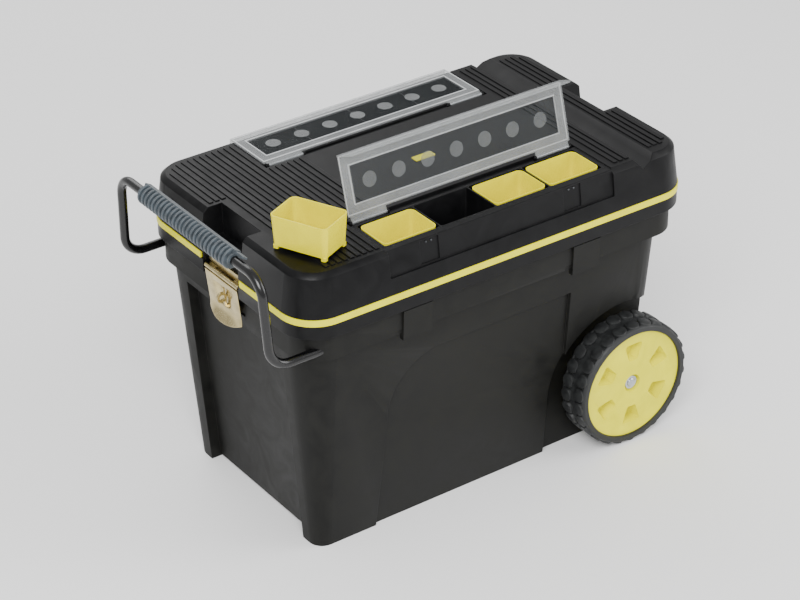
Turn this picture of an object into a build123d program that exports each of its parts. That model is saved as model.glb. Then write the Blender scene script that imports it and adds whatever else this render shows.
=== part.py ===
"""Wheeled carpenter's tool chest: tub, pull handle, hinged lid with two organisers, bins and wheels."""

from build123d import *
import os
from math import cos, radians, sin

# Driving dimensions (mm)
lid_length = 599.0
lid_width = 365.0
lid_corner = 48.0
lid_bottom = 332.0
lid_top = 416.6
lid_wall = 3.5
band_low = 350.6
band_high = 359.6
band_proud = 1.0
band_gap = 44.0

tub_left = -262.0
tub_right = 252.0
tub_half_width = 142.0
tub_corner = 20.0
tub_height = 297.0
tub_wall = 4.0
draft = 4.57

wheel_x = 211.7
wheel_radius = 89.0
tyre_inner_radius = 77.0
wheel_outer_y = 187.5
wheel_inner_y = 141.0
well_radius = 112.0
well_y = 130.0
axle_radius = 6.0
axle_half_length = 181.5
push_cap_radius = 9.5
running_gap = 0.07

rod_y = 167.0
rod_z = 310.0
rod_radius = 6.0
handle_bar_x = -340.5
handle_foot_x = -336.5
handle_bar_z = 429.0
handle_bar_y = 158.5
handle_bend = 28.0
grip_radius = 13.0
grip_length = 205.0

hinge_x = 294.0
hinge_z = 331.0
latch_x = -297.0
latch_z = 344.0
latch_half_width = 37.0

cover_length = 340.0
cover_depth = 86.0
cover_thickness = 2.5
cover_flap = 29.0
cover_hinge_y = 91.5
cover_hinge_z = 416.2
cover_open_lean = 15.5
cover_knuckle = 2.4
cover_pin = 1.0

slot_pitch = 83.5
tray_y_low = 98.0
tray_y_high = 162.0
tray_floor = 370.0
bin_length = 79.0
bin_width = 55.0
bin_height = 45.0

# The chest's middle lies off the origin, so the pull handle and the lid reach equally far along X.
lid_reach = lid_length / 2 + band_proud
handle_reach = -handle_bar_x + grip_radius
chest_x = (handle_reach - lid_reach) / 2

plan = Plane((chest_x, 0, 0))
side = Plane((chest_x, 0, 0), x_dir=(1, 0, 0), z_dir=(0, -1, 0))


def side_at(y):
    """The XZ plane at a given Y, facing -Y."""
    return Plane((chest_x, y, 0), x_dir=(1, 0, 0), z_dir=(0, -1, 0))


def end_at(x):
    """The YZ plane at a given X from the chest's middle, facing +X."""
    return Plane((chest_x + x, 0, 0), x_dir=(0, 1, 0), z_dir=(1, 0, 0))


def drafted_block(x_low, x_high, half_y, corner, z_low, z_high, lean=-draft):
    """A block with rounded corners whose walls lean by the mould's draft."""
    with BuildPart() as block:
        with BuildSketch(plan.offset(z_low)):
            with Locations(((x_low + x_high) / 2, 0)):
                RectangleRounded(x_high - x_low, 2 * half_y, corner)
        extrude(amount=z_high - z_low, taper=lean)
    return block.part


def box_part(x_low, x_high, y_low, y_high, z_low, z_high):
    """A plain box between six planes, in the chest's coordinates."""
    with BuildPart() as block:
        with BuildSketch(plan.offset(z_low)):
            with Locations(((x_low + x_high) / 2, (y_low + y_high) / 2)):
                Rectangle(x_high - x_low, y_high - y_low)
        extrude(amount=z_high - z_low)
    return block.part


def prism_y(points, half_y):
    """A prism across the chest with the given XZ outline."""
    with BuildPart() as prism:
        with BuildSketch(side):
            with BuildLine():
                Polyline(*points, close=True)
            make_face()
        extrude(amount=half_y, both=True)
    return prism.part


def side_prisms(points, x_low, x_high):
    """Two prisms along the chest with the given YZ outline, one on each long side."""
    with BuildPart() as prism:
        with BuildSketch(end_at(x_low)):
            with BuildLine():
                Polyline(*points, close=True)
            make_face()
        extrude(amount=x_high - x_low)
        mirror(about=Plane.XZ)
    return prism.part


# Tub: a tapered box with an arch over each wheel, a sunk end and a ledge along each long side
def wheel_wells(grow):
    """The space of both wheel arches, grown by the wall when it shapes the inside."""
    with BuildPart() as wells:
        with BuildSketch(side_at(-well_y + grow)):
            with Locations((wheel_x, wheel_radius)):
                Circle(well_radius + grow)
            with Locations((wheel_x - well_radius - grow, -2)):
                Rectangle(2 * well_radius + 100 + grow, wheel_radius + 2, align=(Align.MIN, Align.MIN))
        extrude(amount=60)
        mirror(about=Plane.XZ)
    return wells.part


def end_recess(grow):
    """The sunk panel between the two corner posts at the handle end."""
    foot = tub_left + 14 + grow
    lean = 280 * sin(radians(draft))
    top = 280 + grow
    outline = [(foot + 24, -1), (foot + 24, 3), (foot, 3), (foot - lean, top), (-320, top), (-320, -1)]
    return prism_y(outline, 108 + grow)


def axle_pocket(grow):
    """The open space under the tub floor that the axle crosses."""
    outline = [(182 - grow, -1), (248 + grow, -1), (256 + grow, 101 + grow), (182 - grow, 101 + grow)]
    return prism_y(outline, well_y - tub_wall)


with BuildPart() as side_panels:
    with BuildSketch(side):
        with BuildLine():
            Polyline((120, -1), (-173, -1), (-162, 157))
            RadiusArc((-162, 157), (-92, 250), 84)
            Polyline((-92, 250), (120, 250), (120, -1))
        make_face()
    extrude(amount=200, both=True)
    add(drafted_block(-330, 330, tub_half_width - 5, 20, -2, 260), mode=Mode.SUBTRACT)

with BuildPart() as tub_cavity:
    add(drafted_block(tub_left + tub_wall, tub_right - tub_wall, tub_half_width - 9, 14, tub_wall + 3, 298))
    add(wheel_wells(tub_wall), mode=Mode.SUBTRACT)
    add(axle_pocket(tub_wall), mode=Mode.SUBTRACT)
    add(end_recess(tub_wall), mode=Mode.SUBTRACT)

with BuildPart() as tub:
    add(drafted_block(tub_left, tub_right, tub_half_width, tub_corner, 0, tub_height))
    add(wheel_wells(0), mode=Mode.SUBTRACT)
    add(axle_pocket(0), mode=Mode.SUBTRACT)
    add(end_recess(0), mode=Mode.SUBTRACT)
    add(side_panels.part, mode=Mode.SUBTRACT)
    add(tub_cavity.part, mode=Mode.SUBTRACT)
    for y_low in (-155, 145):
        add(box_part(-250, 170, y_low, y_low + 10, 250, 255))
    with BuildSketch(side_at(0)):
        with Locations((wheel_x, wheel_radius)):
            Circle(axle_radius)
    extrude(amount=150, both=True, mode=Mode.SUBTRACT)

# Collar round the tub's mouth, bored along both long sides for the rods of the pull handle
rod_end = 140.0
with BuildPart() as collar:
    with BuildSketch(plan.offset(tub_height)):
        with Locations((-1.25, 0)):
            RectangleRounded(580.5, 352, 41)
        with Locations((-1, 0)):
            RectangleRounded(534, 306, 12, mode=Mode.SUBTRACT)
    extrude(amount=32)
    add(box_part(-310, -284, -41, 41, 290, 340), mode=Mode.SUBTRACT)
    # Saddles that stiffen the rod bores, each with a drain notch beside it
    for x in (-153, 108.5):
        add(side_prisms([(170, 287), (177.5, 287), (179.5, 329), (170, 329)], x, x + 43))
        add(side_prisms([(174.8, 290), (190, 290), (190, 303), (174.8, 303)], x - 11, x), mode=Mode.SUBTRACT)
    with BuildSketch(end_at(-300)):
        with Locations((-rod_y, rod_z), (rod_y, rod_z)):
            Circle(rod_radius + running_gap)
    extrude(amount=60, mode=Mode.SUBTRACT)
    with BuildSketch(end_at(-250)):
        with Locations((-rod_y, rod_z), (rod_y, rod_z)):
            Circle(rod_radius + 1.2)
    extrude(amount=rod_end + 262, mode=Mode.SUBTRACT)

# Pull handle: one bent tube, a ribbed grip and the two stops on the rods' inner ends
with BuildPart() as handle_frame:
    with BuildLine() as handle_path:
        FilletPolyline(
            (chest_x + rod_end, -rod_y, rod_z),
            (chest_x + handle_foot_x, -rod_y, rod_z),
            (chest_x + handle_bar_x, -handle_bar_y, handle_bar_z),
            (chest_x + handle_bar_x, handle_bar_y, handle_bar_z),
            (chest_x + handle_foot_x, rod_y, rod_z),
            (chest_x + rod_end, rod_y, rod_z),
            radius=handle_bend,
        )
    with BuildSketch(Plane((chest_x + rod_end, -rod_y, rod_z), x_dir=(0, 1, 0), z_dir=(-1, 0, 0))):
        Circle(rod_radius)
    sweep()

with BuildPart() as grip:
    with BuildSketch(side):
        with Locations((handle_bar_x, handle_bar_z)):
            Circle(grip_radius)
            Circle(rod_radius, mode=Mode.SUBTRACT)
    extrude(amount=grip_length / 2, both=True)
    chamfer(edges().filter_by(GeomType.CIRCLE).filter_by(lambda edge: edge.radius > grip_radius - 1), 2)

with BuildPart() as rod_stops:
    for y in (-rod_y, rod_y):
        with BuildSketch(end_at(rod_end)):
            with Locations((y, rod_z)):
                Circle(rod_radius + 1)
        extrude(amount=8)

# Latch strike on the collar
with BuildPart() as latch_strike:
    add(box_part(-289.2, -284, -20, 20, 299, 306))

# Axle with its push caps
with BuildPart() as axle:
    with BuildSketch(side):
        with Locations((wheel_x, wheel_radius)):
            Circle(axle_radius)
    extrude(amount=axle_half_length, both=True)
    chamfer(edges().filter_by(GeomType.CIRCLE), 1)

with BuildPart() as push_caps:
    for y in (-176.8, 179.8):
        with BuildSketch(side_at(y)):
            with Locations((wheel_x, wheel_radius)):
                Circle(push_cap_radius)
                Circle(axle_radius, mode=Mode.SUBTRACT)
        extrude(amount=3)


# Wheels, drawn in section with the distance from the chest's middle along and the radius up
axle_line = Axis((chest_x + wheel_x, 0, wheel_radius), (0, 1, 0))
hub_face = 182.5


def wheel_section(sign):
    """The section plane through the axle, turned to the wheel's own side."""
    return Plane(axle_line.position, x_dir=(0, sign, 0), z_dir=(1, 0, 0))


def make_tyre(sign):
    """A solid tyre with rounded shoulders, turned about the axle."""
    with BuildPart() as tyre:
        with BuildSketch(wheel_section(sign)):
            with BuildLine():
                FilletPolyline(
                    (wheel_inner_y, tyre_inner_radius),
                    (wheel_inner_y, wheel_radius),
                    (wheel_outer_y, wheel_radius),
                    (wheel_outer_y, tyre_inner_radius),
                    radius=6,
                )
                Line((wheel_outer_y, tyre_inner_radius), (wheel_inner_y, tyre_inner_radius))
            make_face()
        revolve(axis=axle_line)
    return tyre


def make_hub(sign):
    """A moulded hub: rim, web with six sunk pockets, and a boss that runs on the axle."""
    bore = axle_radius + running_gap
    with BuildPart() as hub:
        with BuildSketch(wheel_section(sign)):
            with BuildLine():
                Polyline(
                    (130.4, bore), (130.4, 14), (165, 14), (165, 68), (145, 71), (145, tyre_inner_radius),
                    (184, tyre_inner_radius), (184, 74), (hub_face, 71), (hub_face, 12.5), (176.5, 11.5),
                    (176.5, bore), close=True,
                )
            make_face()
        revolve(axis=axle_line)
        face_centre = (chest_x + wheel_x, sign * (hub_face + 0.1), wheel_radius)
        with BuildSketch(Plane(face_centre, x_dir=(1, 0, 0), z_dir=(0, -sign, 0))):
            with PolarLocations(48, 6, start_angle=30):
                Trapezoid(30, 25, 72, rotation=90)
            fillet(vertices(), 3.5)
        extrude(amount=14, taper=14, mode=Mode.SUBTRACT)
    return hub


tyre_front = make_tyre(-1)
tyre_back = make_tyre(1)
hub_front = make_hub(-1)
hub_back = make_hub(1)


# Lid hinges: one chest knuckle between two lid knuckles, twice, each on its own pin
knuckle_radius = 4.5
hinge_pin_radius = 2.5
lid_leaf_x = 292.5


def hinge_rod(y_low, y_high, radius):
    """A cylinder on the lid hinge's axis."""
    with BuildPart() as rod:
        with BuildSketch(side_at(y_high)):
            with Locations((hinge_x, hinge_z)):
                Circle(radius)
        extrude(amount=y_high - y_low)
    return rod.part


def chest_hinge(middle):
    """The leaf on the collar, with the middle knuckle, which grips the pin."""
    with BuildPart() as leaf:
        add(box_part(289, hinge_x, middle - 20, middle + 20, 322, 330))
        add(hinge_rod(middle - 20, middle + 20, knuckle_radius))
        add(hinge_rod(middle - 20, middle + 20, hinge_pin_radius), mode=Mode.SUBTRACT)
    return leaf


def lid_hinge(middle):
    """The leaf inside the lid's end, with the two outer knuckles, which turn on the pin."""
    with BuildPart() as leaf:
        for low, high in ((middle - 40, middle - 20.3), (middle + 20.3, middle + 40)):
            add(box_part(lid_leaf_x, 295.99, low, high, hinge_z + 3.5, 350))
            add(hinge_rod(low, high, knuckle_radius))
            add(hinge_rod(low, high, hinge_pin_radius + running_gap), mode=Mode.SUBTRACT)
        add(box_part(lid_leaf_x, 295.99, middle - 40, middle + 40, 339, 350))
    return leaf


chest_hinge_front = chest_hinge(-90)
chest_hinge_back = chest_hinge(90)
lid_hinge_front = lid_hinge(-90)
lid_hinge_back = lid_hinge(90)

with BuildPart() as hinge_pins:
    for middle in (-90, 90):
        add(hinge_rod(middle - 41, middle + 41, hinge_pin_radius))

# Lid shell
lid_half_width = lid_width / 2
lid_lean = 7.5


def lid_form(inset, z_low, z_high):
    """The lid's form, straight up to the band's top and leaning in above it, shrunk by an inset."""
    with BuildPart() as form:
        with BuildSketch(plan.offset(z_low)):
            RectangleRounded(lid_length - 2 * inset, lid_width - 2 * inset, lid_corner - inset)
        extrude(amount=band_high - z_low)
        with BuildSketch(plan.offset(band_high)):
            RectangleRounded(lid_length - 2 * inset, lid_width - 2 * inset, lid_corner - inset)
        extrude(amount=z_high - band_high, taper=lid_lean)
    return form.part


def wall_recess(depth, z_low, x_low, x_high, z_high=430.0):
    """A strip taken off the leaning long walls, to a depth measured from their face."""
    slope = sin(radians(lid_lean))
    low_y = lid_half_width - (z_low - band_high) * slope - depth
    high_y = lid_half_width - (z_high - band_high) * slope - depth
    outline = [(low_y, z_low), (high_y, z_high), (210, z_high), (210, z_low)]
    return side_prisms(outline, x_low, x_high)


with BuildPart() as lid_cavity:
    add(lid_form(lid_wall, lid_bottom - 1, 412.5))
    add(box_part(-310, -262, -48, 48, 371, 420), mode=Mode.SUBTRACT)
    add(box_part(261, 310, -46, 46, 371, 420), mode=Mode.SUBTRACT)
    add(box_part(-310, -285.5, -43.5, 43.5, 330, 376), mode=Mode.SUBTRACT)
    add(prism_y([(202, 420), (217.5, 399.5), (223, 399.5), (252, 420)], 200), mode=Mode.SUBTRACT)
    add(wall_recess(3.5 + lid_wall, 377.5, -175, 175), mode=Mode.SUBTRACT)
    for y_low in (-tray_y_high - 2, tray_y_low - 2):
        add(box_part(-171, 171, y_low, y_low + tray_y_high - tray_y_low + 4, 364, 420), mode=Mode.SUBTRACT)

with BuildPart() as lid_shell:
    add(lid_form(0, lid_bottom, lid_top))
    chamfer(faces().sort_by(Axis.Z)[-1].edges(), 6)
    add(lid_cavity.part, mode=Mode.SUBTRACT)
    # Grip notches at both ends, and the flat the latch lies on
    add(box_part(-310, -266, -44, 44, 375, 430), mode=Mode.SUBTRACT)
    add(box_part(265, 310, -42, 42, 375, 430), mode=Mode.SUBTRACT)
    add(box_part(-310, -289, -40, 40, 330, 380), mode=Mode.SUBTRACT)
    # V-groove that holds a board or pipe while it is cut
    add(prism_y([(205, 421), (220, 403), (247, 421)], 210), mode=Mode.SUBTRACT)
    # Openings for the organiser trays, and the seats of their covers
    cover_seat = [(87, 411.5), (96, 411.5), (96, 415.1), (210, 415.1), (210, 430), (87, 430)]
    for y_low in (-tray_y_high, tray_y_low):
        add(box_part(-169, 169, y_low, y_low + tray_y_high - tray_y_low, 360, 430), mode=Mode.SUBTRACT)
    add(side_prisms(cover_seat, -173, 173), mode=Mode.SUBTRACT)
    add(wall_recess(3.5, 381, -171.5, 171.5), mode=Mode.SUBTRACT)
    for x in (-110.5, 107.5):
        add(wall_recess(5.3, 383, x - 13.5, x + 13.5, 413), mode=Mode.SUBTRACT)
    # Clearance for the hinge barrels
    for y in (-90, 90):
        add(box_part(286, 310, y - 42, y + 42, 330, 339), mode=Mode.SUBTRACT)
    # Groove of the band
    with BuildSketch(plan.offset(band_low)):
        RectangleRounded(lid_length + 10, lid_width + 10, lid_corner + 5)
        RectangleRounded(lid_length - 4, lid_width - 4, lid_corner - 2, mode=Mode.SUBTRACT)
    extrude(amount=band_high - band_low, mode=Mode.SUBTRACT)


def band_half(sign):
    """Half of the coloured band, which stops short of the chest's middle at both ends."""
    with BuildPart() as half:
        with BuildSketch(plan.offset(band_low)):
            RectangleRounded(lid_length + 2 * band_proud, lid_width + 2 * band_proud, lid_corner + band_proud)
            RectangleRounded(lid_length - 4, lid_width - 4, lid_corner - 2, mode=Mode.SUBTRACT)
            with Locations((0, sign * (band_gap - 200))):
                Rectangle(700, 400, mode=Mode.SUBTRACT)
        extrude(amount=band_high - band_low)
    return half


band_front = band_half(-1)
band_back = band_half(1)


# Organiser trays with their dividers
def organiser_tray(sign):
    """A trough with four compartments that drops into the lid."""
    middle = sign * (tray_y_low + tray_y_high) / 2
    width = tray_y_high - tray_y_low
    with BuildPart() as tray:
        with BuildSketch(plan.offset(tray_floor - 4)):
            with Locations((0, middle)):
                Rectangle(338, width)
        extrude(amount=415.1 - tray_floor + 4)
        with BuildSketch(plan.offset(tray_floor)):
            with Locations(*[((i - 1.5) * slot_pitch, middle) for i in range(4)]):
                RectangleRounded(slot_pitch - 2, width - 4, 3)
        extrude(amount=60, mode=Mode.SUBTRACT)
    return tray


tray_front = organiser_tray(-1)
tray_back = organiser_tray(1)


# Clear covers
def organiser_cover(out_direction, x_sign, hinge_y):
    """A cover with a turned-down flap, drawn in section from its hinge line outward."""
    section = Plane((chest_x, hinge_y, cover_hinge_z), x_dir=out_direction, z_dir=(x_sign, 0, 0))
    face = Plane(section.origin, x_dir=(x_sign, 0, 0), z_dir=section.y_dir)
    under = -0.7
    upper = under + cover_thickness
    flap_inside = cover_depth - cover_thickness
    flap_lean = cover_flap * sin(radians(lid_lean))
    with BuildPart() as cover:
        with BuildSketch(section):
            with BuildLine():
                Polyline(
                    (1.5, under), (flap_inside, under), (flap_inside + flap_lean, upper - cover_flap),
                    (cover_depth + flap_lean, upper - cover_flap), (cover_depth, upper - 2),
                    (cover_depth - 2, upper), (1.5, upper), close=True,
                )
            make_face()
        extrude(amount=cover_length / 2, both=True)
        # The hinge edge stands back between and outside its two end tabs
        with BuildSketch(face):
            Rectangle(230, 14)
            with Locations((-171, 0), (171, 0)):
                Rectangle(8, 14)
        extrude(amount=20, both=True, mode=Mode.SUBTRACT)
        # Knuckles on the hinge line
        for x in (-141, 141):
            with BuildSketch(section.offset(x - 25.8)):
                Circle(cover_knuckle)
            extrude(amount=51.6)
            with BuildSketch(section.offset(x - 25.8)):
                Circle(cover_pin + running_gap)
            extrude(amount=51.6, mode=Mode.SUBTRACT)
        # Catch bumps inside the flap
        for x in (-109, 109):
            with BuildSketch(section.offset(x - 6)):
                with Locations((cover_depth - 1.5 + flap_lean * 0.8, upper - cover_flap * 0.8)):
                    Circle(1.6)
            extrude(amount=12)
    return cover


lean = radians(cover_open_lean)
front_cover = organiser_cover((0, sin(lean), cos(lean)), -1, -cover_hinge_y)
back_cover = organiser_cover((0, 1, 0), 1, cover_hinge_y)

with BuildPart() as cover_pins:
    for y in (-cover_hinge_y, cover_hinge_y):
        for x in (-141, 141):
            with BuildSketch(end_at(x - 29)):
                with Locations((y, cover_hinge_z)):
                    Circle(cover_pin)
            extrude(amount=58)

with BuildPart() as cover_lugs:
    for y in (-cover_hinge_y, cover_hinge_y):
        for x in (-168.4, -113.6, 113.6, 168.4):
            with BuildSketch(end_at(x - 1.4)):
                with Locations((y, cover_hinge_z - 2.4)):
                    Rectangle(4.8, 4.6)
                with Locations((y, cover_hinge_z)):
                    Circle(cover_knuckle)
                    Circle(cover_pin, mode=Mode.SUBTRACT)
            extrude(amount=2.8)


# Bins
def organiser_bin(base):
    """An open bin with leaning walls that stands on four small feet."""
    with BuildPart() as bin_body:
        with BuildSketch(base.offset(4)):
            RectangleRounded(bin_length - 6, bin_width - 6, 5)
        extrude(amount=bin_height - 4, taper=-4.1)
        with BuildSketch(base.offset(6)):
            RectangleRounded(bin_length - 9.2, bin_width - 9.2, 3.5)
        extrude(amount=bin_height, taper=-4.1, mode=Mode.SUBTRACT)
        with BuildSketch(base):
            with GridLocations(bin_length - 13, bin_width - 13, 2, 2):
                RectangleRounded(7, 7, 2)
        extrude(amount=4.5)
    return bin_body


bin_y = -(tray_y_low + tray_y_high) / 2
bin_left = organiser_bin(Plane((chest_x - 1.5 * slot_pitch, bin_y, tray_floor + 0.2)))
bin_middle = organiser_bin(Plane((chest_x + 0.5 * slot_pitch, bin_y, tray_floor + 0.2)))
bin_right = organiser_bin(Plane((chest_x + 1.5 * slot_pitch, bin_y, tray_floor + 0.2)))
loose_turn = radians(114.6)
loose_x_dir = (cos(loose_turn), sin(loose_turn), 0)
bin_loose = organiser_bin(Plane((chest_x - 240.5, -111, 418.3), x_dir=loose_x_dir, z_dir=(0, 0, 1)))

# Latch: plate with its eye, pin and the knuckles on the lid
with BuildPart() as latch_plate:
    with BuildSketch(side):
        with BuildLine():
            Polyline(
                (latch_x - 1.5, latch_z), (latch_x + 4, 292), (latch_x + 0.5, 284), (latch_x - 1.5, 281),
                (latch_x + 1.5, 281), (latch_x + 3.5, 284), (latch_x + 6.5, 291.5), (latch_x + 1, latch_z),
                close=True,
            )
        make_face()
    extrude(amount=latch_half_width, both=True)
    with BuildSketch(end_at(-320)):
        with Locations((-29.5, latch_z), (29.5, latch_z)):
            Rectangle(18.6, 8.4)
        with BuildLine():
            FilletPolyline((-16, 328), (16, 328), (8, 301), (-8, 301), radius=3, close=True)
        make_face()
    extrude(amount=40, mode=Mode.SUBTRACT)
    with BuildSketch(side_at(20)):
        with Locations((latch_x, latch_z)):
            Circle(3)
    extrude(amount=40)
    with BuildSketch(side_at(40)):
        with Locations((latch_x, latch_z)):
            Circle(1.5 + running_gap)
    extrude(amount=80, mode=Mode.SUBTRACT)

with BuildPart() as padlock_eye:
    with BuildSketch(side_at(1.6)):
        with Locations((latch_x - 2.5, 314.5)):
            Circle(7)
            Circle(3.6, mode=Mode.SUBTRACT)
    extrude(amount=3.2)
    with BuildSketch(side_at(1.6)):
        stem = [
            (latch_x + 1.8, 327.9), (latch_x + 4.3, 301.1), (latch_x + 1.6, 301.1), (latch_x - 0.6, 327.9)
        ]
        Polygon(*stem, align=None)
    extrude(amount=3.2)

with BuildPart() as latch_pin:
    with BuildSketch(side):
        with Locations((latch_x, latch_z)):
            Circle(1.5)
    extrude(amount=latch_half_width, both=True)

with BuildPart() as latch_keeper:
    add(box_part(-292.5, -289, -latch_half_width, latch_half_width, 335, 357))
    for y in (-37, 20.4):
        add(box_part(latch_x, -292.5, y, y + 16.6, latch_z - 2, latch_z + 2))
        with BuildSketch(side_at(y + 16.6)):
            with Locations((latch_x, latch_z)):
                Circle(3)
        extrude(amount=16.6)
        with BuildSketch(side_at(y + 16.6)):
            with Locations((latch_x, latch_z)):
                Circle(1.5)
        extrude(amount=16.6, mode=Mode.SUBTRACT)

# Name plate, left plain
with BuildPart() as badge:
    with BuildSketch(plan.offset(lid_top)):
        with Locations((2, -6)):
            RectangleRounded(30, 12, 2)
    extrude(amount=1.2)

# Tote tray that hangs on the ledges inside the tub and slides along them
tote_middle = -154.0
tote_length = 200.0
tote_low = 200.0
tote_high = 261.0
with BuildPart() as tote_tray:
    with BuildSketch(plan.offset(tote_low)):
        with Locations((tote_middle, 0)):
            RectangleRounded(tote_length, 288, 12)
    extrude(amount=tote_high - tote_low)
    with BuildSketch(plan.offset(255.3)):
        with Locations((tote_middle, 0)):
            RectangleRounded(tote_length, 303, 12)
    extrude(amount=tote_high - 255.3)
    with BuildSketch(plan.offset(tote_low + 3)):
        with Locations((tote_middle - 49, 0), (tote_middle + 49, 0)):
            RectangleRounded(94, 282, 9)
    extrude(amount=60, mode=Mode.SUBTRACT)

with BuildPart() as tote_handle:
    with BuildSketch(end_at(tote_middle)):
        with BuildLine():
            FilletPolyline((-90, tote_high), (-70, 318), (70, 318), (90, tote_high), radius=14)
            Line((90, tote_high), (-90, tote_high))
        make_face()
        with Locations((0, 288)):
            RectangleRounded(110, 30, 12, mode=Mode.SUBTRACT)
    extrude(amount=2, both=True)

pieces = {
    "tub": tub,
    "collar": collar,
    "latch_strike": latch_strike,
    "axle": axle,
    "push_caps": push_caps,
    "chest_hinge_front": chest_hinge_front,
    "chest_hinge_back": chest_hinge_back,
    "hinge_pins": hinge_pins,
    "handle_frame": handle_frame,
    "grip": grip,
    "rod_stops": rod_stops,
    "tyre_front": tyre_front,
    "tyre_back": tyre_back,
    "hub_front": hub_front,
    "hub_back": hub_back,
    "lid_shell": lid_shell,
    "lid_hinge_front": lid_hinge_front,
    "lid_hinge_back": lid_hinge_back,
    "band_front": band_front,
    "band_back": band_back,
    "tray_front": tray_front,
    "tray_back": tray_back,
    "cover_pins": cover_pins,
    "cover_lugs": cover_lugs,
    "badge": badge,
    "latch_keeper": latch_keeper,
    "latch_pin": latch_pin,
    "latch_plate": latch_plate,
    "padlock_eye": padlock_eye,
    "front_cover": front_cover,
    "back_cover": back_cover,
    "bin_left": bin_left,
    "bin_middle": bin_middle,
    "bin_right": bin_right,
    "bin_loose": bin_loose,
    "tote_tray": tote_tray,
    "tote_handle": tote_handle,
}

os.makedirs("parts", exist_ok=True)
for label, piece in pieces.items():
    piece.part.label = label
    export_step(piece.part, f"parts/{label}.step")
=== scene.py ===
import math

import bmesh
import bpy
from mathutils import Matrix, Vector


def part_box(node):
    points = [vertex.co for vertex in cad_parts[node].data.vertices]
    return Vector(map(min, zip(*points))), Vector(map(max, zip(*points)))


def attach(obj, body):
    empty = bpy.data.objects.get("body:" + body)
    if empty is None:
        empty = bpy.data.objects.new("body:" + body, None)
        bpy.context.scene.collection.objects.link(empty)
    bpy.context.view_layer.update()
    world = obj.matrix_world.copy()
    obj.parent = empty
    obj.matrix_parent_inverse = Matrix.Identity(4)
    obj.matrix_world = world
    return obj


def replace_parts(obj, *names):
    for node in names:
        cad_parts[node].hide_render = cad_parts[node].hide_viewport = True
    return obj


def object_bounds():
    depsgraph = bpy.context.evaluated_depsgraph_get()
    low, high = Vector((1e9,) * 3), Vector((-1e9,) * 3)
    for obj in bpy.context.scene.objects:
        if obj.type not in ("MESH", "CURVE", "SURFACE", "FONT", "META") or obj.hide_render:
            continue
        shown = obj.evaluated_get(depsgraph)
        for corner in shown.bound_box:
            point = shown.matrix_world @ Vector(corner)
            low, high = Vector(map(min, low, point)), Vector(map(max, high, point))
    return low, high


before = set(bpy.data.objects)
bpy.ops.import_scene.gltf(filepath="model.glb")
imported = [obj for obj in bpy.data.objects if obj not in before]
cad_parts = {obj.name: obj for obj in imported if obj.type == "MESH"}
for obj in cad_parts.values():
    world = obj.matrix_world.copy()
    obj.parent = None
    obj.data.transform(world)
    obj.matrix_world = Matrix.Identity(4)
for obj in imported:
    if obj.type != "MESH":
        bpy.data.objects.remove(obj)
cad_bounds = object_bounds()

# Tub: one large moulding of black polypropylene structural foam, open at the top.
# Foam filling leaves faint cloudy swirls under a fine leathery grain, and every
# outside corner comes out of the mould slightly rounded.
MM = 0.001
sharp_angle = math.radians(32)
flat_angle = math.radians(0.5)
weld_distance = 0.002 * MM
noise_low = 0.3
noise_high = 0.7
edge_steps = 2
tub_edge_mm = 0.8


def srgb(code):
    """An sRGB hex colour as linear RGBA."""
    channels = [int(code[i:i + 2], 16) / 255 for i in (0, 2, 4)]
    return (*[c / 12.92 if c <= 0.04045 else ((c + 0.055) / 1.055) ** 2.4 for c in channels], 1.0)


def add_node(material, kind, inputs, **settings):
    """Adds a node to a material. Each input takes a value, or the output socket that feeds it."""
    tree = material.node_tree
    node = tree.nodes.new(kind)
    for name, value in settings.items():
        setattr(node, name, value)
    for name, value in inputs.items():
        if isinstance(value, bpy.types.NodeSocket):
            tree.links.new(value, node.inputs[name])
        else:
            node.inputs[name].default_value = value
    return node


def build_finish(name, surface, patterns, colour=None, roughness=None, alpha=None, bumps=()):
    """A finish drawn on the piece's own coordinates, from cloudy patterns of real sizes.

    surface holds the shader's constants. patterns gives each pattern's size in mm, its detail, and
    where it has them its distortion and how much it is squeezed upward. colour is a pattern and the
    two colours that it blends. roughness and alpha are a pattern and the range that it gives. bumps
    are patterns with a depth in mm and a strength, each laid over the one before.
    """
    material = bpy.data.materials.new(name)
    material.use_nodes = True
    shader = material.node_tree.nodes["Principled BSDF"]
    for socket, value in surface.items():
        shader.inputs[socket].default_value = value
    place = add_node(material, "ShaderNodeTexCoord", {}).outputs["Object"]

    clouds = {}
    for pattern, row in patterns.items():
        vector = place
        if "squeeze" in row:
            squeezed = {"Vector": place, "Scale": (1.0, 1.0, row["squeeze"])}
            vector = add_node(material, "ShaderNodeMapping", squeezed).outputs["Vector"]
        inputs = {
            "Vector": vector, "Scale": 1 / (row["mm"] * MM), "Detail": row["detail"],
            "Distortion": row.get("distortion", 0.0),
        }
        clouds[pattern] = add_node(material, "ShaderNodeTexNoise", inputs).outputs["Fac"]

    spans = {"Roughness": roughness, "Alpha": alpha}
    if colour:
        spans["Base Color"] = (colour[0], 0.0, 1.0)
    for socket, span in spans.items():
        if not span:
            continue
        pattern, low, high = span
        inputs = {
            "Value": clouds[pattern], "From Min": noise_low, "From Max": noise_high,
            "To Min": low, "To Max": high,
        }
        level = add_node(material, "ShaderNodeMapRange", inputs).outputs["Result"]
        if socket == "Base Color":
            blend = {0: level, 6: srgb(colour[1]), 7: srgb(colour[2])}
            level = add_node(material, "ShaderNodeMix", blend, data_type="RGBA").outputs[2]
        material.node_tree.links.new(level, shader.inputs[socket])

    under = {}
    for pattern, depth_mm, strength in bumps:
        inputs = {"Height": clouds[pattern], "Distance": depth_mm * MM, "Strength": strength, **under}
        under = {"Normal": add_node(material, "ShaderNodeBump", inputs).outputs["Normal"]}
    if under:
        material.node_tree.links.new(under["Normal"], shader.inputs["Normal"])
    return material


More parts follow.
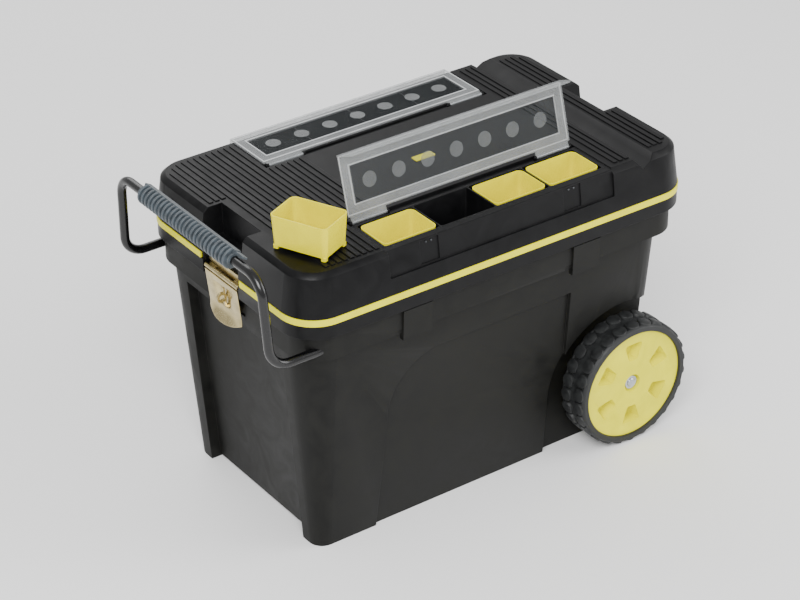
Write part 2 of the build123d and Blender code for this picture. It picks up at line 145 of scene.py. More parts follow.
def structural_foam(name, dark, light, grain_mm, roughness):
    """Moulded foam plastic: cloudy flow marks in its colour and gloss, shallow sinks, and a fine grain.

    The real grain is about 0.3 mm, and is drawn two to three times as coarse so that it shows.
    """
    patterns = {
        "swirl": {"mm": 42, "detail": 4.0, "distortion": 1.6},
        "grain": {"mm": grain_mm, "detail": 2.0},
        "sink": {"mm": 70, "detail": 1.0},
    }
    return build_finish(
        name, {"IOR": 1.49, "Specular IOR Level": 0.15}, patterns, colour=("swirl", dark, light),
        roughness=("swirl", roughness - 0.06, roughness + 0.06),
        bumps=[("sink", 1.2, 0.35), ("grain", 0.08, 0.45)],
    )


def finish_piece(piece, material, body, edge_mm):
    """Gives a piece its material, rounded edges and smooth shading, and hangs it on its body."""
    mesh = piece.data
    mesh.materials.clear()
    mesh.materials.append(material)
    mesh.shade_smooth()
    mesh.set_sharp_from_angle(angle=sharp_angle)
    if edge_mm:
        rounding = piece.modifiers.new("rounded edges", "BEVEL")
        rounding.width = edge_mm * MM
        rounding.segments = edge_steps
        rounding.limit_method = "ANGLE"
        rounding.angle_limit = sharp_angle
        rounding.use_clamp_overlap = True
        rounding.harden_normals = True
    bpy.context.scene.collection.objects.link(piece)
    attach(piece, body)
    return piece


def soft_edged(node, name, material, body, edge_mm):
    """A copy of a CAD part with its triangles merged to clean faces and its edges rounded as moulded."""
    bm = bmesh.new()
    bm.from_mesh(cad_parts[node].data)
    bmesh.ops.remove_doubles(bm, verts=bm.verts, dist=weld_distance)
    bmesh.ops.dissolve_limit(
        bm, angle_limit=flat_angle, verts=bm.verts, edges=bm.edges, use_dissolve_boundaries=False
    )
    mesh = bpy.data.meshes.new(name)
    bm.to_mesh(mesh)
    bm.free()
    piece = finish_piece(bpy.data.objects.new(name, mesh), material, body, edge_mm)
    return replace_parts(piece, node)


body_foam = structural_foam("polypropylene_foam_body", "10100F", "1A1A18", grain_mm=0.9, roughness=0.5)
soft_edged("tub", "tub_moulding", body_foam, "chest", tub_edge_mm)

# Collar: a ring moulded in the same foam plastic and welded to the tub's mouth. Its
# outer wall sinks a little between the ribs behind it, which shows as a soft wave.
soft_edged("collar", "collar_moulding", body_foam, "chest", tub_edge_mm)

# Tote tray: the tray that slides on ledges inside the tub, in the same black plastic. Its
# carrying hoop is moulded separately and snapped into the tray's end walls.
tote_edge_mm = 0.6
soft_edged("tote_tray", "tote_moulding", body_foam, "tote", tote_edge_mm)
soft_edged("tote_handle", "tote_hoop", body_foam, "tote", tote_edge_mm)

# Lid: moulded in a slightly darker and smoother grade than the tub. The trays for the
# organisers drop into it from above and are welded along their rims.
lid_edge_mm = 0.7
tray_edge_mm = 0.5
lid_foam = structural_foam("polypropylene_foam_lid", "080809", "111112", grain_mm=0.7, roughness=0.4)
soft_edged("lid_shell", "lid_moulding", lid_foam, "lid", lid_edge_mm)
for tray_side in ("front", "back"):
    soft_edged(f"tray_{tray_side}", f"organiser_tray_{tray_side}", lid_foam, "lid", tray_edge_mm)
soft_edged("cover_lugs", "cover_hinge_lugs", lid_foam, "lid", edge_mm=0.0)

# Deck ribs: flat strips moulded across the lid's top that stop goods from sliding. They
# run from side to side, end short of the deck's rounded border, and skip the notches.
rib_pitch = 9.0
rib_width = 6.0
rib_height = 1.4
rib_sunk = 0.5
rib_border = 7.0
rib_edge_mm = 0.5
deck_half_length = 285.0
deck_half_width = 169.0
deck_corner = 36.0
handle_end_x, handle_end_ribs = -277, 12
handle_notch_x, handle_notch_side = -258, 50
between_trays_x, between_trays_ribs, between_trays_reach = -169, 6, 83
before_groove_x, before_groove_ribs = 186.5, 3
wheel_end_x, wheel_end_ribs, wheel_end_reach = 248, 4, 155
wheel_notch_x, wheel_notch_side = 262, 48

lid_low, lid_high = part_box("lid_shell")
lid_middle_x = (lid_low.x + lid_high.x) / 2
lid_place = Matrix.Translation((lid_middle_x, 0, 0)) @ Matrix.Scale(MM, 4)
deck_z = lid_high.z / MM


def add_box(bm, low, high):
    """A box between two corners."""
    size = Vector(high) - Vector(low)
    middle = (Vector(high) + Vector(low)) / 2
    matrix = Matrix.Translation(middle) @ Matrix.Diagonal((*size, 1.0))
    return bmesh.ops.create_cube(bm, size=1.0, matrix=matrix)["verts"]


def piece_from(bm, name, place, material, body, edge_mm=0.0):
    """Turns a bmesh drawn in millimetres into a finished piece."""
    bmesh.ops.transform(bm, matrix=place, verts=bm.verts)
    bmesh.ops.recalc_face_normals(bm, faces=bm.faces)
    mesh = bpy.data.meshes.new(name)
    bm.to_mesh(mesh)
    bm.free()
    return finish_piece(bpy.data.objects.new(name, mesh), material, body, edge_mm)


def deck_reach(x):
    """How far a rib runs from the middle before it meets the deck's rounded border."""
    into_corner = abs(x) + rib_width / 2 - (deck_half_length - deck_corner)
    side = deck_half_width - rib_border
    if into_corner <= 0:
        return side
    return side - deck_corner + math.sqrt(max(deck_corner ** 2 - into_corner ** 2, 0))


ribs = bmesh.new()


def add_rib(x, y_low, y_high):
    """One strip, sunk a little into the deck so that no gap shows under it."""
    low = (x - rib_width / 2, y_low, deck_z - rib_sunk)
    add_box(ribs, low, (x + rib_width / 2, y_high, deck_z + rib_height))


for row in range(handle_end_ribs):
    x = handle_end_x + row * rib_pitch
    reach = deck_reach(x)
    add_rib(x, handle_notch_side if x < handle_notch_x else -reach, reach)
for row in range(between_trays_ribs):
    add_rib(between_trays_x + row * rib_pitch, -between_trays_reach, between_trays_reach)
for row in range(before_groove_ribs):
    x = before_groove_x + row * rib_pitch
    add_rib(x, -deck_reach(x), deck_reach(x))
for row in range(wheel_end_ribs):
    x = wheel_end_x + row * rib_pitch
    reach = min(deck_reach(x), wheel_end_reach)
    if x + rib_width / 2 > wheel_notch_x:
        add_rib(x, -reach, -wheel_notch_side)
        add_rib(x, wheel_notch_side, reach)
    else:
        add_rib(x, -reach, reach)
piece_from(ribs, "deck_ribs", lid_place, lid_foam, "lid", rib_edge_mm)

# Hinge gutters: a flat web of the lid's plastic under each organiser's hinge line. It joins
# the deck to the tray's wall and keeps rain and sawdust out of the chest.
gutter_half_length = 172.0
gutter_near = 85.5
gutter_far = 96.8
gutter_low = 409.8
gutter_high = 412.8
gutter_edge_mm = 0.4

gutters = bmesh.new()
for y_low, y_high in ((gutter_near, gutter_far), (-gutter_far, -gutter_near)):
    add_box(gutters, (-gutter_half_length, y_low, gutter_low), (gutter_half_length, y_high, gutter_high))
piece_from(gutters, "hinge_gutters", lid_place, lid_foam, "lid", gutter_edge_mm)

# Catch studs: a pair of small blackened rivet heads at the top of each latch pocket in the
# lid's long walls, where the organiser covers snap shut.
stud_radius = 1.5
stud_spacing = 8.0
stud_z = 409.0
stud_segments = 16
stud_rings = 10
pocket_middles = (-110.5, 107.5)
pocket_depth = 5.3
wall_foot_z = 359.6
wall_lean = math.sin(math.radians(7.5))


def plated_metal(name, base, dark, roughness, streak_mm):
    """Plated steel: a bright metal with fine streaks in its gloss and slight clouding of its colour."""
    patterns = {
        "cloud": {"mm": 14, "detail": 3.0},
        "streak": {"mm": streak_mm, "detail": 2.0, "squeeze": 12.0},
    }
    return build_finish(
        name, {"Metallic": 1.0}, patterns, colour=("cloud", dark, base),
        roughness=("streak", roughness - 0.08, roughness + 0.08), bumps=[("streak", 0.02, 0.3)],
    )


zinc_plate = plated_metal("zinc_plated_steel", "C9CCD0", "A9ADB2", roughness=0.3, streak_mm=3.0)
stud_steel = plated_metal("blackened_steel", "5A5C5E", "3C3E40", roughness=0.35, streak_mm=3.0)
studs = bmesh.new()
stud_y = lid_high.y / MM - (stud_z - wall_foot_z) * wall_lean - pocket_depth
for side in (-1, 1):
    for middle in pocket_middles:
        for offset in (-stud_spacing / 2, stud_spacing / 2):
            matrix = Matrix.Translation((middle + offset, side * stud_y, stud_z))
            bmesh.ops.create_uvsphere(
                studs, u_segments=stud_segments, v_segments=stud_rings, radius=stud_radius, matrix=matrix
            )
piece_from(studs, "catch_studs", lid_place, stud_steel, "lid")

# Yellow trim: the band snapped into a groove round the lid, and the plain name plate on
# the deck. Both are smooth pale yellow polypropylene with a soft gloss.
band_edge_mm = 0.4
name_plate_edge_mm = 0.3


def gloss_plastic(name, base, shade, roughness):
    """Smooth unfilled plastic: an even colour with faint flow clouds, and a nearly flat glossy skin."""
    patterns = {
        "cloud": {"mm": 30, "detail": 2.0, "distortion": 0.6},
        "skin": {"mm": 2.5, "detail": 2.0},
    }
    return build_finish(
        name, {"IOR": 1.49, "Specular IOR Level": 0.2}, patterns, colour=("cloud", shade, base),
        roughness=("skin", roughness - 0.04, roughness + 0.05), bumps=[("skin", 0.05, 0.25)],
    )


band_plastic = gloss_plastic("polypropylene_band_yellow", "E6E000", "DCD500", roughness=0.33)
for half in ("front", "back"):
    soft_edged(f"band_{half}", f"trim_band_{half}", band_plastic, "lid", band_edge_mm)
soft_edged("badge", "name_plate", band_plastic, "lid", name_plate_edge_mm)

# Organiser bins: small open boxes on four feet, injection moulded in bright yellow
# polypropylene, thin-walled and glossy.
bin_edge_mm = 0.5
bin_plastic = gloss_plastic("polypropylene_bin_yellow", "E4D800", "DBCE00", roughness=0.28)
for spot in ("left", "middle", "right", "loose"):
    soft_edged(f"bin_{spot}", f"fixings_bin_{spot}", bin_plastic, f"bin_{spot}", bin_edge_mm)

# Organiser covers: one moulding each, with a frosted frame, a clear window with seven
# frosted spots along it, and a flap that turns down over the lid's wall. The hinge
# edge stands back between two tabs, and raised ridges stiffen the frame.
cover_half_length = 170.0
cover_near = 1.5
cover_far = 84.0
cover_under = -0.7
cover_upper = 1.8
cover_edge_mm = 0.5
tab_inner = 115.0
tab_outer = 167.0
tab_depth = 7.0
tab_middles = (-141, 141)
tab_rod_half_length = 25.8
tab_rod_radius = 2.4
window_near = 21.0
window_far = 69.0
window_half_length = 156.0
window_thickness = 1.0
flap_depth = 29.0
flap_thickness = 2.5
flap_lean = math.radians(7.5)
flap_corner = 8.0
flap_corner_steps = 5
flap_overlap = 0.5
spot_count = 7
spot_radius = 10.0
spot_pitch = 43.5
spot_low = 1.05
spot_high = 1.5
spot_segments = 48
spot_edge_mm = 0.15
ridge_width = 1.6
ridge_low = cover_upper - 0.4
ridge_high = cover_upper + 0.5
ridge_inset = 1.0
ridge_edge_mm = 0.3
snap_middles = (-109, 109)
snap_half_length = 7
snap_near = cover_far - 3
snap_far = cover_far - 0.5
snap_low = ridge_high - 0.2
snap_high = ridge_high + 0.5
pin_radius = 1.0
front_cover_lean = math.radians(15.5)
same_mm = 0.01

pin_low, pin_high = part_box("cover_pins")
cover_axis_z = (pin_low.z + pin_high.z) / 2
cover_axis_y = pin_high.y - pin_radius * MM


def polycarbonate(name, colour, opacity, roughness, speckle, frosting, frost_mm=1.2, shine=0.5):
    """Clear moulded plastic: how much light the skin holds back depends on how it was textured.

    A real frosted grain is about 0.2 mm, and is drawn at 1.2 mm so that it shows.
    """
    surface = {"Base Color": srgb(colour), "IOR": 1.585, "Specular IOR Level": shine}
    patterns = {"frost": {"mm": frost_mm, "detail": 2.0}, "haze": {"mm": 25, "detail": 2.0}}
    return build_finish(
        name, surface, patterns, alpha=("haze", opacity - speckle, opacity + speckle),
        roughness=("frost", roughness - 0.04, roughness + 0.06), bumps=[("frost", 0.04, frosting)],
    )


frosted_skin = polycarbonate(
    "polycarbonate_frosted", "A2A5A6", opacity=0.30, roughness=0.40, speckle=0.05, frosting=0.3
)
# Painted shade: the clear window's plastic gets a dark grey tint so the window looks as dark as a shaded one.
# The tint is not the plastic's own colour.
shade_tinted_clear_skin = polycarbonate(
    "polycarbonate_clear_shade_tint", "4A4E50", opacity=0.14, roughness=0.30, speckle=0.02, frosting=0.02,
    frost_mm=30, shine=0.1,
)
spot_skin = polycarbonate(
    "polycarbonate_spot", "8F9293", opacity=0.30, roughness=0.5, speckle=0.04, frosting=0.3
)
ridge_skin = polycarbonate(
    "polycarbonate_ridge", "D8DADB", opacity=0.55, roughness=0.28, speckle=0.03, frosting=0.1
)


def add_rod(bm, start, finish, radius, segments=24):
    """A closed cylinder between two points."""
    along = Vector(finish) - Vector(start)
    turn = along.to_track_quat("Z", "Y").to_matrix().to_4x4()
    matrix = Matrix.Translation((Vector(start) + Vector(finish)) / 2) @ turn
    bmesh.ops.create_cone(
        bm, cap_ends=True, segments=segments, radius1=radius, radius2=radius, depth=along.length,
        matrix=matrix,
    )


def sheet_of(bm, half_length, near, far, x_cuts, depth_cuts):
    """A flat rectangle split along the given lines."""
    corners = [(-half_length, near), (half_length, near), (half_length, far), (-half_length, far)]
    bm.faces.new([bm.verts.new((x, depth, 0)) for x, depth in corners])
    cuts = [((x, 0, 0), (1, 0, 0)) for x in x_cuts] + [((0, depth, 0), (0, 1, 0)) for depth in depth_cuts]
    for point, across in cuts:
        everything = bm.verts[:] + bm.edges[:] + bm.faces[:]
        bmesh.ops.bisect_plane(bm, geom=everything, plane_co=point, plane_no=across)


def build_cover(name, node, place, body):
    """The cover's pieces, drawn along X, outward from the hinge along Y, and upward along Z."""
    plate = bmesh.new()
    x_cuts = (-tab_outer, -window_half_length, -tab_inner, tab_inner, window_half_length, tab_outer)
    depth_cuts = (tab_depth, window_near, window_far)
    sheet_of(plate, cover_half_length, cover_near, cover_far, x_cuts, depth_cuts)
    gone = []
    for face in plate.faces:
        middle = face.calc_center_median()
        in_recess = middle.y < tab_depth and (abs(middle.x) < tab_inner or abs(middle.x) > tab_outer)
        in_window = window_near < middle.y < window_far and abs(middle.x) < window_half_length
        if in_recess or in_window:
            gone.append(face)
    bmesh.ops.delete(plate, geom=gone, context="FACES")
    raised = bmesh.ops.extrude_face_region(plate, geom=plate.faces[:])["geom"]
    raised_verts = [part for part in raised if isinstance(part, bmesh.types.BMVert)]
    bmesh.ops.translate(plate, verts=raised_verts, vec=(0, 0, cover_upper - cover_under))
    bmesh.ops.translate(plate, verts=plate.verts, vec=(0, 0, cover_under))

    flap = add_box(plate, (-cover_half_length, 0, -flap_depth), (cover_half_length, flap_thickness, 0))
    lower = []
    for edge in plate.edges:
        start, finish = edge.verts
        if start not in flap or finish not in flap:
            continue
        at_foot = max(abs(start.co.z + flap_depth), abs(finish.co.z + flap_depth)) < same_mm
        if at_foot and abs(start.co.x - finish.co.x) < same_mm:
            lower.append(edge)
    rounded = bmesh.ops.bevel(
        plate, geom=lower, offset=flap_corner, offset_type="OFFSET", segments=flap_corner_steps, profile=0.5,
        affect="EDGES", material=-1,
    )["verts"]
    flap = list({vert for vert in flap if vert.is_valid} | set(rounded))
    at_far_edge = Matrix.Translation((0, cover_far - flap_overlap, cover_upper))
    bmesh.ops.transform(plate, matrix=at_far_edge @ Matrix.Rotation(flap_lean, 4, "X"), verts=flap)
    for middle in tab_middles:
        start = (middle - tab_rod_half_length, 0, 0)
        add_rod(plate, start, (middle + tab_rod_half_length, 0, 0), tab_rod_radius)
    shell = piece_from(plate, f"{name}_frame", place, frosted_skin, body, cover_edge_mm)
    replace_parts(shell, node)

    pane = bmesh.new()
    add_box(
        pane, (-window_half_length, window_near, 0), (window_half_length, window_far, window_thickness)
    )
    piece_from(pane, f"{name}_window", place, shade_tinted_clear_skin, body)

    spots = bmesh.new()
    depth = (window_near + window_far) / 2
    for number in range(spot_count):
        x = (number - (spot_count - 1) // 2) * spot_pitch
        add_rod(spots, (x, depth, spot_low), (x, depth, spot_high), spot_radius, spot_segments)
    piece_from(spots, f"{name}_spots", place, spot_skin, body, spot_edge_mm)

    ridges = bmesh.new()
    for near, far, half_length in (
        (window_near - ridge_width, window_far + ridge_width, window_half_length + ridge_width),
        (tab_depth + ridge_inset, cover_far, cover_half_length - ridge_inset),
    ):
        for y in (near, far - ridge_width):
            add_box(ridges, (-half_length, y, ridge_low), (half_length, y + ridge_width, ridge_high))
        for x in (-half_length, half_length - ridge_width):
            low = (x, near + ridge_width, ridge_low)
            add_box(ridges, low, (x + ridge_width, far - ridge_width, ridge_high))
    for middle in snap_middles:
        low = (middle - snap_half_length, snap_near, snap_low)
        add_box(ridges, low, (middle + snap_half_length, snap_far, snap_high))
    return piece_from(ridges, f"{name}_ridges", place, ridge_skin, body, ridge_edge_mm)


def cover_place(side_y, outward):
    """Where a cover stands: its hinge line, with its outward direction and its upper side."""
    outward = Vector(outward)
    along = Vector((1, 0, 0)) if side_y > 0 else Vector((-1, 0, 0))
    up = along.cross(outward)
    axes = Matrix((along, outward, up)).transposed().to_4x4()
    return Matrix.Translation((lid_middle_x, side_y, cover_axis_z)) @ axes @ Matrix.Scale(MM, 4)


open_outward = (0, math.sin(front_cover_lean), math.cos(front_cover_lean))
build_cover("front_organiser", "front_cover", cover_place(-cover_axis_y, open_outward), "front_cover")
build_cover("back_organiser", "back_cover", cover_place(cover_axis_y, (0, 1, 0)), "back_cover")

# Pull handle: one steel tube bent to a loop and painted gloss black. It slides in the
# collar's bores, and its two stops keep the rods from pulling out.
stop_edge_mm = 0.5


def gloss_paint(name, colour):
    """Sprayed enamel on steel: deep black with a faint orange peel in its reflections."""
    surface = {
        "Base Color": srgb(colour), "IOR": 1.5, "Specular IOR Level": 0.4,
        "Coat Weight": 0.2, "Coat Roughness": 0.05,
    }
    patterns = {"peel": {"mm": 2.0, "detail": 1.0}, "wear": {"mm": 11, "detail": 3.0}}
    return build_finish(name, surface, patterns, roughness=("wear", 0.18, 0.32), bumps=[("peel", 0.05, 0.2)])


black_enamel = gloss_paint("enamelled_steel_tube", "050506")
soft_edged("handle_frame", "handle_tube", black_enamel, "handle", edge_mm=0.0)
soft_edged("rod_stops", "handle_rod_stops", zinc_plate, "handle", stop_edge_mm)

# Grip: a sleeve of blue-grey soft plastic pushed over the handle's bar, with deep
# grooves between rings, a plain spine along its top and a small tongue at one end.
ring_pitch = 8.0
ring_count = 25
ring_half_foot = 2.1
ring_half_shoulder = 1.9
ring_half_top = 1.1
ring_rounding = 0.9
groove_radius = 7.4
sleeve_wall = 2
sleeve_steps = 36
seam_mm = 0.001
spine_turn = math.radians(30)
spine_half_width = 4.5
spine_low = 6
spine_end_gap = 0.5
spine_drop = 0.3
tongue_half_width = 3.5
tongue_length = 16
tongue_overlap = 2
tongue_low, tongue_high = 8.6, 11.4
grip_edge_mm = 0.4

grip_low, grip_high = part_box("grip")
grip_middle = (grip_low + grip_high) / 2
ring_radius = (grip_high.z - grip_low.z) / 2 / MM
grip_half_length = (grip_high.y - grip_low.y) / 2 / MM
grip_place = Matrix.Translation(grip_middle) @ Matrix.Scale(MM, 4)


def soft_grip(name, dark, light):
    """Thermoplastic rubber: a dusty blue-grey that is lighter where hands have polished it."""
    surface = {"IOR": 1.5, "Sheen Weight": 0.15, "Sheen Roughness": 0.5}
    patterns = {"dust": {"mm": 7, "detail": 3.0}, "grain": {"mm": 0.8, "detail": 2.0}}
    return build_finish(
        name, surface, patterns, colour=("dust", dark, light), roughness=("dust", 0.42, 0.58),
        bumps=[("grain", 0.06, 0.35)],
    )


grip_rubber = soft_grip("thermoplastic_rubber_grip", "2A3136", "414B52")


def spin_about_y(bm, outline, steps):
    """Turns a closed outline of (distance along Y, radius) points about the Y axis through the origin."""
    verts = [bm.verts.new((0, along, radius)) for along, radius in outline]
    edges = [bm.edges.new(pair) for pair in zip(verts, verts[1:] + verts[:1])]
    bmesh.ops.spin(
        bm, geom=verts + edges, cent=(0, 0, 0), axis=(0, 1, 0), angle=math.tau, steps=steps, use_merge=True
    )
    bmesh.ops.remove_doubles(bm, verts=bm.verts, dist=seam_mm)


rings = bmesh.new()
outline = [(-grip_half_length, groove_radius - sleeve_wall), (-grip_half_length, groove_radius + sleeve_wall)]
for number in range(ring_count):
    middle = (number - (ring_count - 1) / 2) * ring_pitch
    half_ring = [
        (ring_half_foot, groove_radius), (ring_half_shoulder, ring_radius - ring_rounding),
        (ring_half_top, ring_radius),
    ]
    outline += [(middle - half, radius) for half, radius in half_ring]
    outline += [(middle + half, radius) for half, radius in reversed(half_ring)]
outline += [(grip_half_length, groove_radius + sleeve_wall), (grip_half_length, groove_radius - sleeve_wall)]
spin_about_y(rings, outline, sleeve_steps)
spine_end = grip_half_length - spine_end_gap
spine = add_box(
    rings, (-spine_half_width, -spine_end, spine_low), (spine_half_width, spine_end, ring_radius - spine_drop)
)
spine += add_box(
    rings, (-tongue_half_width, -grip_half_length - tongue_length, tongue_low),
    (tongue_half_width, -grip_half_length + tongue_overlap, tongue_high),
)
bmesh.ops.rotate(rings, cent=(0, 0, 0), matrix=Matrix.Rotation(spine_turn, 3, "Y"), verts=spine)
sleeve = piece_from(rings, "ribbed_grip", grip_place, grip_rubber, "handle", grip_edge_mm)
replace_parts(sleeve, "grip")

# Latch: a stamped plate of nickel-plated steel, hinged on the lid and hooked over a
# strike on the collar. A loop for a padlock stands in its sunk pan, and its lower lip
# curls out so that fingers can pull it.
nickel_plate = plated_metal("nickel_plated_steel", "CDBE90", "A89A70", roughness=0.25, streak_mm=2.0)
plate_half_width = 37.0
plate_thickness = 1.6
plate_smoothing = 2
plate_stands_out = 1.2
plate_lean = 5.5
pan_top = 331.0
pan_bottom = 301.0
pan_top_half = 19.0
pan_bottom_half = 11.0
pan_wall = 1.6
pan_depth = 5.0
lip_top = 297.0
lip_bulge = 9.0
lip_flare = 1.5
lip_curl = 1.4
lip_corner_rise = 7.0
axis_below_top = 3.0
axis_out = 1.5
inside_mm = 0.1
knuckle_half_length = 20
knuckle_radius = 3.0
leaf_drop = 6
leaf_inner, leaf_outer = 0.2, 2.0
latch_edge_mm = 0.3

plate_low, plate_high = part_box("latch_plate")
latch_axis_z = plate_high.z / MM - axis_below_top
plate_bottom = plate_low.z / MM

# Each column of the grid stands at so much of the plate's edge, the pan's edge and the pan's wall.
# Each row stands at a height in mm: up the lip, over the pan, and up to the hinge.
lip_rises = (0, 1, 3, 6, 10, 14, 17)
pan_floor_heights = [308.0, 316.0, 324.0]
above_pan_heights = [334.0, 337.0]
below_axis = (4.0, 3.5)
across_stops = [(-1, 0, 0), (-0.5, -0.5, 0), (0, -1, 0), (0, -1, 1), (0, -0.5, 0.5), (0, 0, 0)]
across_stops += [(-edge, -pan, -wall) for edge, pan, wall in reversed(across_stops[:-1])]
row_heights = [plate_bottom + rise for rise in lip_rises]
row_heights += [pan_bottom, pan_bottom + pan_wall] + pan_floor_heights + [pan_top - pan_wall, pan_top]
row_heights += above_pan_heights + [latch_axis_z - drop for drop in below_axis]
columns, rows = len(across_stops) - 1, len(row_heights) - 1
plate = bmesh.new()
bmesh.ops.create_grid(plate, x_segments=columns, y_segments=rows, size=0.5)
for vert in plate.verts:
    edge, pan, wall = across_stops[round((vert.co.x + 0.5) * columns)]
    z = row_heights[round((vert.co.y + 0.5) * rows)]
    up_pan = min(max((z - pan_bottom) / (pan_top - pan_bottom), 0.0), 1.0)
    pan_half = pan_bottom_half + up_pan * (pan_top_half - pan_bottom_half)
    y = edge * plate_half_width + pan * pan_half + wall * pan_wall
    across = y / plate_half_width
    into_lip = max(0.0, (lip_top - z) / (lip_top - plate_bottom))
    lean_in = (latch_axis_z - z) / (latch_axis_z - lip_top) * plate_lean
    flare = into_lip ** lip_curl * (lip_bulge * (1 - across ** 2) + lip_flare)
    on_floor = pan_bottom + inside_mm < z < pan_top - inside_mm and abs(y) < pan_half - inside_mm
    out = lean_in - flare - plate_stands_out + (pan_depth if on_floor else 0.0)
    vert.co = (out, y, z + lip_corner_rise * into_lip * across ** 4)
bmesh.ops.recalc_face_normals(plate, faces=plate.faces)
latch_place = Matrix.Translation((plate_low.x + axis_out * MM, 0, 0)) @ Matrix.Scale(MM, 4)
pull = piece_from(plate, "latch_pull", latch_place, nickel_plate, "latch")
thickness = pull.modifiers.new("sheet thickness", "SOLIDIFY")
thickness.thickness = plate_thickness * MM
thickness.offset = 0.0
smoothing = pull.modifiers.new("smooth pressing", "SUBSURF")
smoothing.levels = smoothing.render_levels = plate_smoothing
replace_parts(pull, "latch_plate")

knuckles = bmesh.new()
knuckle_start = (axis_out, -knuckle_half_length, latch_axis_z)
add_rod(knuckles, knuckle_start, (axis_out, knuckle_half_length, latch_axis_z), knuckle_radius)
leaf_low = (leaf_inner, -knuckle_half_length, latch_axis_z - leaf_drop)
add_box(knuckles, leaf_low, (leaf_outer, knuckle_half_length, latch_axis_z))
piece_from(knuckles, "latch_knuckle", latch_place, nickel_plate, "latch", latch_edge_mm)
soft_edged("padlock_eye", "padlock_loop", nickel_plate, "latch", latch_edge_mm)
soft_edged("latch_keeper", "latch_hinge_bar", nickel_plate, "lid", latch_edge_mm)
soft_edged("latch_pin", "latch_hinge_pin", nickel_plate, "lid", edge_mm=0.0)
soft_edged("latch_strike", "collar_strike", nickel_plate, "chest", latch_edge_mm)

# Running gear and lid hinges: a plain steel axle held by push caps, and two leaf hinges
# on their pins, all zinc plated.
cap_edge_mm = 0.3
soft_edged("axle", "wheel_axle", zinc_plate, "chest", edge_mm=0.0)
soft_edged("push_caps", "axle_push_caps", zinc_plate, "chest", cap_edge_mm)
soft_edged("hinge_pins", "lid_hinge_pins", zinc_plate, "chest", edge_mm=0.0)
soft_edged("cover_pins", "cover_hinge_pins", zinc_plate, "lid", edge_mm=0.0)
for side in ("front", "back"):
    soft_edged(f"chest_hinge_{side}", f"hinge_leaf_chest_{side}", zinc_plate, "chest", edge_mm=0.0)
    soft_edged(f"lid_hinge_{side}", f"hinge_leaf_lid_{side}", zinc_plate, "lid", edge_mm=0.0)

# Wheels: a yellow moulded hub with six sloped pockets, and a black tyre of hard rubbery
# plastic with two staggered rows of rounded lugs that leave a scalloped edge.
tyre_steps = 96
tyre_depth = 12.0
tread_depth = 3.6
bead_width, bead_rise = 2, 1.0
shoulder_width, shoulder_drop = 1.2, 1.5
side_ring_width, side_ring_rise = 4, 1.0
channel_start, channel_drop = 5, 0.6
lug_count = 26
lug_height = 6.0
lug_radius = 9.6
lug_round = 1.4
lug_round_steps = 2
lug_segments = 20
lug_from_side = 1.4
lug_below_top = 0.6
hub_edge_mm = 0.7


def tyre_plastic(name, dark, light):
    """Hard matt rubbery plastic, greyer on its rubbed high spots."""
    patterns = {
        "scuff": {"mm": 9, "detail": 4.0, "distortion": 0.5},
        "grain": {"mm": 1.0, "detail": 2.0},
    }
    return build_finish(
        name, {"IOR": 1.5}, patterns, colour=("scuff", dark, light), roughness=("scuff", 0.5, 0.68),
        bumps=[("grain", 0.08, 0.5)],
    )


hub_plastic = gloss_plastic("polypropylene_hub_yellow", "E6DF10", "DBD406", roughness=0.36)
tread_plastic = tyre_plastic("thermoplastic_tyre_black", "101112", "1D1F1F")

for side in ("front", "back"):
    soft_edged(f"hub_{side}", f"wheel_hub_{side}", hub_plastic, f"wheel_{side}", hub_edge_mm)
    tyre_low, tyre_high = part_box(f"tyre_{side}")
    tyre_middle = (tyre_low + tyre_high) / 2
    tyre_radius = (tyre_high.z - tyre_low.z) / 2 / MM
    half_width = (tyre_high.y - tyre_low.y) / 2 / MM
    inner_radius = tyre_radius - tyre_depth
    root = tyre_radius - tread_depth
    tread = bmesh.new()
    side_wall = [
        (-half_width + bead_width, inner_radius), (-half_width, inner_radius + bead_rise),
        (-half_width, root - shoulder_drop), (-half_width + shoulder_width, root),
        (-half_width + side_ring_width, root + side_ring_rise),
        (-half_width + channel_start, root - channel_drop),
    ]
    spin_about_y(tread, side_wall + [(-along, radius) for along, radius in reversed(side_wall)], tyre_steps)
    lug_rows = (lug_from_side - half_width + lug_radius, half_width - lug_radius - lug_from_side)
    for row, across in enumerate(lug_rows):
        for number in range(lug_count):
            lug = bmesh.new()
            add_rod(lug, (0, across, -lug_height), (0, across, 0), lug_radius, lug_segments)
            top_edges = [edge for edge in lug.edges if all(vert.co.z > -same_mm for vert in edge.verts)]
            bmesh.ops.bevel(
                lug, geom=top_edges, offset=lug_round, offset_type="OFFSET", segments=lug_round_steps,
                profile=0.5, affect="EDGES", material=-1,
            )
            turn = Matrix.Rotation(math.tau * (number + row / 2) / lug_count, 4, "Y")
            outward = Matrix.Translation((0, 0, tyre_radius - lug_below_top))
            bmesh.ops.transform(lug, matrix=turn @ outward, verts=lug.verts)
            stamped = bpy.data.meshes.new("lug")
            lug.to_mesh(stamped)
            lug.free()
            tread.from_mesh(stamped)
            bpy.data.meshes.remove(stamped)
    tyre_place = Matrix.Translation(tyre_middle) @ Matrix.Scale(MM, 4)
    tyre = piece_from(tread, f"lugged_tyre_{side}", tyre_place, tread_plastic, f"wheel_{side}")
    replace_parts(tyre, f"tyre_{side}")

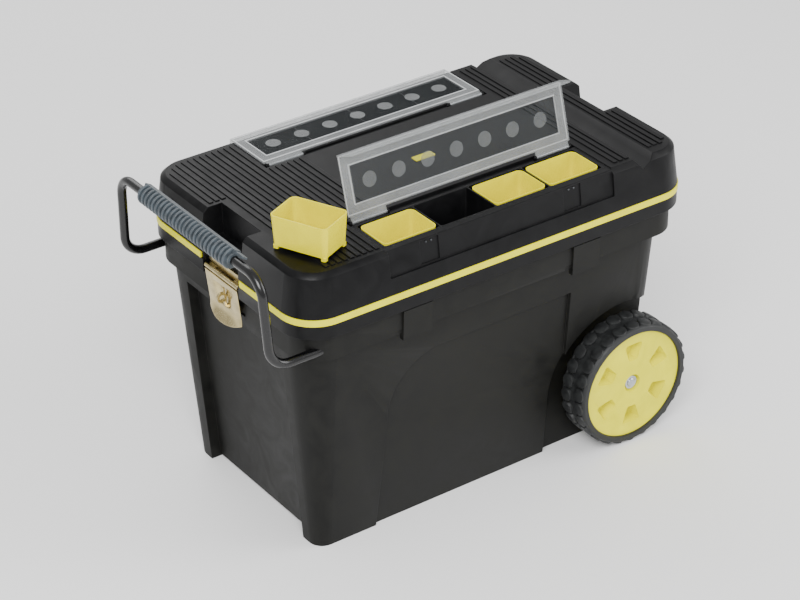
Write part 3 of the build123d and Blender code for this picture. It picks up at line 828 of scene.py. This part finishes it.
# Floor and light: a pale seamless studio floor, a large soft light from the upper left
# in front, a weaker one from the right, one behind, and a white surround.
floor_half = 6.0
surround_strength = 0.85
floor_bm = bmesh.new()
bmesh.ops.create_grid(floor_bm, x_segments=1, y_segments=1, size=floor_half)
floor_mesh = bpy.data.meshes.new("studio_floor")
floor_bm.to_mesh(floor_mesh)
floor_bm.free()
floor = bpy.data.objects.new("studio_floor", floor_mesh)
bpy.context.scene.collection.objects.link(floor)
paper = build_finish(
    "seamless_paper", {"Roughness": 0.9, "Base Color": srgb("F4F4F4")}, {"fibre": {"mm": 3.0, "detail": 3.0}},
    bumps=[("fibre", 0.05, 0.1)],
)
floor_mesh.materials.append(paper)

chest_middle = (cad_bounds[0] + cad_bounds[1]) / 2


def soft_light(name, position, size, power):
    """A square soft box that faces the chest."""
    data = bpy.data.lights.new(name, "AREA")
    data.size = size
    data.energy = power
    light = bpy.data.objects.new(name, data)
    light.location = position
    light.rotation_euler = (Vector(position) - chest_middle).to_track_quat("Z", "Y").to_euler()
    bpy.context.scene.collection.objects.link(light)


soft_light("key_light", (-1.6, -1.8, 2.4), size=1.6, power=120)
soft_light("fill_light", (2.2, -1.6, 1.4), size=1.8, power=50)
soft_light("back_light", (0.4, 2.2, 2.2), size=1.8, power=30)

surround = bpy.data.worlds.new("white_surround")
surround.use_nodes = True
background = surround.node_tree.nodes["Background"]
background.inputs["Color"].default_value = (1, 1, 1, 1)
background.inputs["Strength"].default_value = surround_strength
bpy.context.scene.world = surround

# Camera: it stands at the front left and above the chest with a long lens, so the chest's
# upright edges stay close to parallel.
camera_place = Vector((-1.6908, -2.3843, 1.9772))
camera_target = Vector((0.0062, 0.0166, 0.2029))
camera_roll = math.radians(-0.578)
camera_data = bpy.data.cameras.new("camera")
camera_data.sensor_width = 36.0
camera_data.lens = 118.67
camera = bpy.data.objects.new("camera", camera_data)
look = (camera_target - camera_place).normalized()
level = look.cross(Vector((0, 0, 1))).normalized()
upright = level.cross(look)
right = level * math.cos(camera_roll) + upright * math.sin(camera_roll)
up = upright * math.cos(camera_roll) - level * math.sin(camera_roll)
camera.matrix_world = Matrix.Translation(camera_place) @ Matrix((right, up, -look)).transposed().to_4x4()
bpy.context.scene.collection.objects.link(camera)
bpy.context.scene.camera = camera
